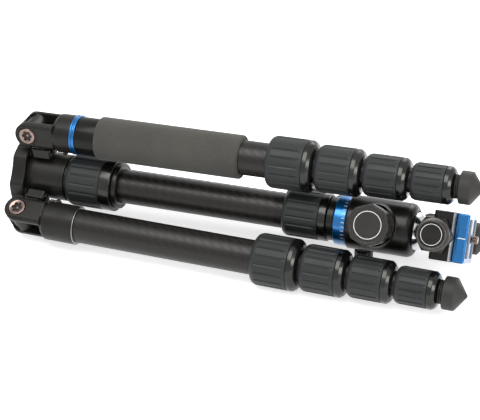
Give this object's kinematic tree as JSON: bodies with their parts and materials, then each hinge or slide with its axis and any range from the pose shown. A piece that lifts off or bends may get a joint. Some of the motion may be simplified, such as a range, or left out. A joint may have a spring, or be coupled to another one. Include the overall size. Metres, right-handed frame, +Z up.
{
  "type": "travel tripod",
  "caption": "Compact carbon travel tripod with twist locks and a ball head, folded with its legs swung up around the column and head.",
  "frame": {"origin": "Centre of the bounding box, at its lowest height: the tripod lies folded on its two lower legs.", "axes": "+X along the column from the leg hinges to the head, +Z up, +Y away from the viewer."},
  "size_m": [0.394, 0.1228, 0.1095],
  "materials": {
    "cast_alloy": "fine satin black powder coat on magnesium castings",
    "carbon": "brown-black carbon fibre tube under clear satin lacquer",
    "rubber": "matt moulded rubber with shallow grooves",
    "steel": "turned stainless steel with a warm tint",
    "foam": "closed-cell foam, matt with fine pores",
    "gloss_black": "polished black anodised aluminium",
    "blue_anodised": "bright blue anodised aluminium",
    "black_anodised": "satin black anodised aluminium",
    "polymer": "moulded glass-filled nylon"
  },
  "bodies": {
    "spider": {"spider": "cast_alloy", "hinge_bolts": "steel"},
    "grip_leg": {"grip_leg_yoke": "cast_alloy", "grip_leg_tube_1": "carbon", "grip_leg_tab_spring": "steel", "grip_leg_foam_grip": "foam", "grip_leg_screw_collar": "gloss_black"},
    "grip_leg_lock_1": {"grip_leg_lock_1": "rubber"},
    "grip_leg_section_2": {"grip_leg_tube_2": "carbon"},
    "grip_leg_lock_2": {"grip_leg_lock_2": "rubber"},
    "grip_leg_section_3": {"grip_leg_tube_3": "carbon"},
    "grip_leg_lock_3": {"grip_leg_lock_3": "rubber"},
    "grip_leg_section_4": {"grip_leg_tube_4": "carbon"},
    "grip_leg_lock_4": {"grip_leg_lock_4": "rubber"},
    "grip_leg_section_5": {"grip_leg_tube_5": "carbon", "grip_leg_foot": "rubber"},
    "grip_leg_angle_tab": {"grip_leg_angle_tab": "polymer"},
    "front_leg": {"front_leg_yoke": "cast_alloy", "front_leg_tube_1": "carbon", "front_leg_tab_spring": "steel"},
    "front_leg_lock_1": {"front_leg_lock_1": "rubber"},
    "front_leg_section_2": {"front_leg_tube_2": "carbon"},
    "front_leg_lock_2": {"front_leg_lock_2": "rubber"},
    "front_leg_section_3": {"front_leg_tube_3": "carbon"},
    "front_leg_lock_3": {"front_leg_lock_3": "rubber"},
    "front_leg_section_4": {"front_leg_tube_4": "carbon"},
    "front_leg_lock_4": {"front_leg_lock_4": "rubber"},
    "front_leg_section_5": {"front_leg_tube_5": "carbon", "front_leg_foot": "rubber"},
    "front_leg_angle_tab": {"front_leg_angle_tab": "polymer"},
    "rear_leg": {"rear_leg_yoke": "cast_alloy", "rear_leg_tube_1": "carbon", "rear_leg_tab_spring": "steel"},
    "rear_leg_lock_1": {"rear_leg_lock_1": "rubber"},
    "rear_leg_section_2": {"rear_leg_tube_2": "carbon"},
    "rear_leg_lock_2": {"rear_leg_lock_2": "rubber"},
    "rear_leg_section_3": {"rear_leg_tube_3": "carbon"},
    "rear_leg_lock_3": {"rear_leg_lock_3": "rubber"},
    "rear_leg_section_4": {"rear_leg_tube_4": "carbon"},
    "rear_leg_lock_4": {"rear_leg_lock_4": "rubber"},
    "rear_leg_section_5": {"rear_leg_tube_5": "carbon", "rear_leg_foot": "rubber"},
    "rear_leg_angle_tab": {"rear_leg_angle_tab": "polymer"},
    "column_lock": {"column_lock": "rubber"},
    "column": {"column_tube": "carbon"},
    "bag_hook": {"column_bag_hook": "steel"},
    "upper_column_lock": {"upper_column_lock": "rubber"},
    "inner_column": {"inner_column": "carbon", "pan_base": "blue_anodised"},
    "head": {"head_body": "black_anodised"},
    "ball_lock_knob": {"ball_lock_knob": "rubber"},
    "pan_lock_knob": {"pan_lock_knob": "black_anodised"},
    "ball": {"ball_and_stem": "steel", "clamp_base": "black_anodised"},
    "jaw": {"clamp_jaw": "black_anodised"},
    "clamp_knob": {"clamp_knob": "rubber"},
    "plate": {"camera_plate": "blue_anodised"},
    "camera_screw": {"camera_screw": "steel"}
  },
  "joints": [
    {"name": "grip_leg_hinge", "type": "hinge", "parent": "spider", "child": "grip_leg", "pos_m": [-0.18144, 0, 0.08636], "axis": [0, -1, 0], "range_deg": [0, 176]},
    {"name": "grip_leg_lock_1_turn", "type": "hinge", "parent": "grip_leg", "child": "grip_leg_lock_1", "pos_m": [-0.18144, 0, 0.08636], "axis": [1, 0, 0.0087], "range_deg": [0, 180]},
    {"name": "grip_leg_section_2_slide", "type": "slide", "parent": "grip_leg", "child": "grip_leg_section_2", "axis": [1, 0, 0.0087], "range_m": [0, 0.1814]},
    {"name": "grip_leg_lock_2_turn", "type": "hinge", "parent": "grip_leg_section_2", "child": "grip_leg_lock_2", "pos_m": [-0.18144, 0, 0.08636], "axis": [1, 0, 0.0087], "range_deg": [0, 180]},
    {"name": "grip_leg_section_3_slide", "type": "slide", "parent": "grip_leg_section_2", "child": "grip_leg_section_3", "axis": [1, 0, 0.0087], "range_m": [0, 0.2182]},
    {"name": "grip_leg_lock_3_turn", "type": "hinge", "parent": "grip_leg_section_3", "child": "grip_leg_lock_3", "pos_m": [-0.18144, 0, 0.08636], "axis": [1, 0, 0.0087], "range_deg": [0, 180]},
    {"name": "grip_leg_section_4_slide", "type": "slide", "parent": "grip_leg_section_3", "child": "grip_leg_section_4", "axis": [1, 0, 0.0087], "range_m": [0, 0.2536]},
    {"name": "grip_leg_lock_4_turn", "type": "hinge", "parent": "grip_leg_section_4", "child": "grip_leg_lock_4", "pos_m": [-0.18144, 0, 0.08636], "axis": [1, 0, 0.0087], "range_deg": [0, 180]},
    {"name": "grip_leg_section_5_slide", "type": "slide", "parent": "grip_leg_section_4", "child": "grip_leg_section_5", "axis": [1, 0, 0.0087], "range_m": [0, 0.2876]},
    {"name": "grip_leg_angle_tab_pull", "type": "slide", "parent": "grip_leg", "child": "grip_leg_angle_tab", "axis": [1, 0, 0.0087], "range_m": [0, 0.003], "stiffness_N_per_m": 400, "springref_m": -0.002, "deforming": ["grip_leg_tab_spring"]},
    {"name": "front_leg_hinge", "type": "hinge", "parent": "spider", "child": "front_leg", "pos_m": [-0.18144, -0.03637, 0.02336], "axis": [0, 0.5, -0.866], "range_deg": [0, 176]},
    {"name": "front_leg_lock_1_turn", "type": "hinge", "parent": "front_leg", "child": "front_leg_lock_1", "pos_m": [-0.18144, -0.03637, 0.02336], "axis": [0.9998, -0.0166, -0.0096], "range_deg": [0, 180]},
    {"name": "front_leg_section_2_slide", "type": "slide", "parent": "front_leg", "child": "front_leg_section_2", "axis": [0.9998, -0.0166, -0.0096], "range_m": [0, 0.1814]},
    {"name": "front_leg_lock_2_turn", "type": "hinge", "parent": "front_leg_section_2", "child": "front_leg_lock_2", "pos_m": [-0.18144, -0.03637, 0.02336], "axis": [0.9998, -0.0166, -0.0096], "range_deg": [0, 180]},
    {"name": "front_leg_section_3_slide", "type": "slide", "parent": "front_leg_section_2", "child": "front_leg_section_3", "axis": [0.9998, -0.0166, -0.0096], "range_m": [0, 0.2182]},
    {"name": "front_leg_lock_3_turn", "type": "hinge", "parent": "front_leg_section_3", "child": "front_leg_lock_3", "pos_m": [-0.18144, -0.03637, 0.02336], "axis": [0.9998, -0.0166, -0.0096], "range_deg": [0, 180]},
    {"name": "front_leg_section_4_slide", "type": "slide", "parent": "front_leg_section_3", "child": "front_leg_section_4", "axis": [0.9998, -0.0166, -0.0096], "range_m": [0, 0.2536]},
    {"name": "front_leg_lock_4_turn", "type": "hinge", "parent": "front_leg_section_4", "child": "front_leg_lock_4", "pos_m": [-0.18144, -0.03637, 0.02336], "axis": [0.9998, -0.0166, -0.0096], "range_deg": [0, 180]},
    {"name": "front_leg_section_5_slide", "type": "slide", "parent": "front_leg_section_4", "child": "front_leg_section_5", "axis": [0.9998, -0.0166, -0.0096], "range_m": [0, 0.2876]},
    {"name": "front_leg_angle_tab_pull", "type": "slide", "parent": "front_leg", "child": "front_leg_angle_tab", "axis": [0.9998, -0.0166, -0.0096], "range_m": [0, 0.003], "stiffness_N_per_m": 400, "springref_m": -0.002, "deforming": ["front_leg_tab_spring"]},
    {"name": "rear_leg_hinge", "type": "hinge", "parent": "spider", "child": "rear_leg", "pos_m": [-0.18144, 0.03637, 0.02336], "axis": [0, 0.5, 0.866], "range_deg": [0, 176]},
    {"name": "rear_leg_lock_1_turn", "type": "hinge", "parent": "rear_leg", "child": "rear_leg_lock_1", "pos_m": [-0.18144, 0.03637, 0.02336], "axis": [0.9998, 0.0166, -0.0096], "range_deg": [0, 180]},
    {"name": "rear_leg_section_2_slide", "type": "slide", "parent": "rear_leg", "child": "rear_leg_section_2", "axis": [0.9998, 0.0166, -0.0096], "range_m": [0, 0.1814]},
    {"name": "rear_leg_lock_2_turn", "type": "hinge", "parent": "rear_leg_section_2", "child": "rear_leg_lock_2", "pos_m": [-0.18144, 0.03637, 0.02336], "axis": [0.9998, 0.0166, -0.0096], "range_deg": [0, 180]},
    {"name": "rear_leg_section_3_slide", "type": "slide", "parent": "rear_leg_section_2", "child": "rear_leg_section_3", "axis": [0.9998, 0.0166, -0.0096], "range_m": [0, 0.2182]},
    {"name": "rear_leg_lock_3_turn", "type": "hinge", "parent": "rear_leg_section_3", "child": "rear_leg_lock_3", "pos_m": [-0.18144, 0.03637, 0.02336], "axis": [0.9998, 0.0166, -0.0096], "range_deg": [0, 180]},
    {"name": "rear_leg_section_4_slide", "type": "slide", "parent": "rear_leg_section_3", "child": "rear_leg_section_4", "axis": [0.9998, 0.0166, -0.0096], "range_m": [0, 0.2536]},
    {"name": "rear_leg_lock_4_turn", "type": "hinge", "parent": "rear_leg_section_4", "child": "rear_leg_lock_4", "pos_m": [-0.18144, 0.03637, 0.02336], "axis": [0.9998, 0.0166, -0.0096], "range_deg": [0, 180]},
    {"name": "rear_leg_section_5_slide", "type": "slide", "parent": "rear_leg_section_4", "child": "rear_leg_section_5", "axis": [0.9998, 0.0166, -0.0096], "range_m": [0, 0.2876]},
    {"name": "rear_leg_angle_tab_pull", "type": "slide", "parent": "rear_leg", "child": "rear_leg_angle_tab", "axis": [0.9998, 0.0166, -0.0096], "range_m": [0, 0.003], "stiffness_N_per_m": 400, "springref_m": -0.002, "deforming": ["rear_leg_tab_spring"]},
    {"name": "column_lock_turn", "type": "hinge", "parent": "spider", "child": "column_lock", "pos_m": [-0.18144, 0, 0.04436], "axis": [1, 0, 0], "range_deg": [0, 180]},
    {"name": "column_slide", "type": "slide", "parent": "spider", "child": "column", "axis": [-1, 0, 0], "range_m": [0, 0.088]},
    {"name": "bag_hook_pull", "type": "slide", "parent": "column", "child": "bag_hook", "axis": [-1, 0, 0], "range_m": [0, 0.014]},
    {"name": "upper_column_lock_turn", "type": "hinge", "parent": "column", "child": "upper_column_lock", "pos_m": [-0.18144, 0, 0.04436], "axis": [1, 0, 0], "range_deg": [0, 180]},
    {"name": "inner_column_slide", "type": "slide", "parent": "column", "child": "inner_column", "axis": [1, 0, 0], "range_m": [0, 0.17]},
    {"name": "head_pan", "type": "hinge", "parent": "inner_column", "child": "head", "pos_m": [0.09296, 0, 0.04436], "axis": [1, 0, 0], "range_deg": [-3, 3]},
    {"name": "ball_lock_knob_turn", "type": "hinge", "parent": "head", "child": "ball_lock_knob", "pos_m": [0.11636, -0.02598, 0.05936], "axis": [0, -0.866, 0.5], "range_deg": [-90, 270]},
    {"name": "pan_lock_knob_turn", "type": "hinge", "parent": "head", "child": "pan_lock_knob", "pos_m": [0.10356, 0, 0.01436], "axis": [0, 0, -1], "range_deg": [-90, 270]},
    {"name": "ball_tilt", "type": "hinge", "parent": "head", "child": "ball", "pos_m": [0.14146, 0, 0.04436], "axis": [0, 0.5, 0.866], "range_deg": [-5, 5]},
    {"name": "clamp_knob_turn", "type": "hinge", "parent": "jaw", "child": "clamp_knob", "pos_m": [0.16436, -0.02425, 0.05836], "axis": [0, -0.866, 0.5], "range_deg": [0, 720]},
    {"name": "jaw_slide", "type": "slide", "parent": "ball", "child": "jaw", "axis": [0, -0.866, 0.5], "range_m": [0, 0.002]},
    {"name": "plate_slide", "type": "slide", "parent": "ball", "child": "plate", "axis": [0, 0.5, 0.866], "range_m": [-0.004, 0.004]},
    {"name": "camera_screw_turn", "type": "hinge", "parent": "plate", "child": "camera_screw", "pos_m": [0.18916, 0, 0.04436], "axis": [1, 0, 0], "continuous": true}
  ],
  "couplings": [
    {"joint": "clamp_knob_turn", "follows": "jaw_slide", "rad_per_m": 6283.2}
  ]
}
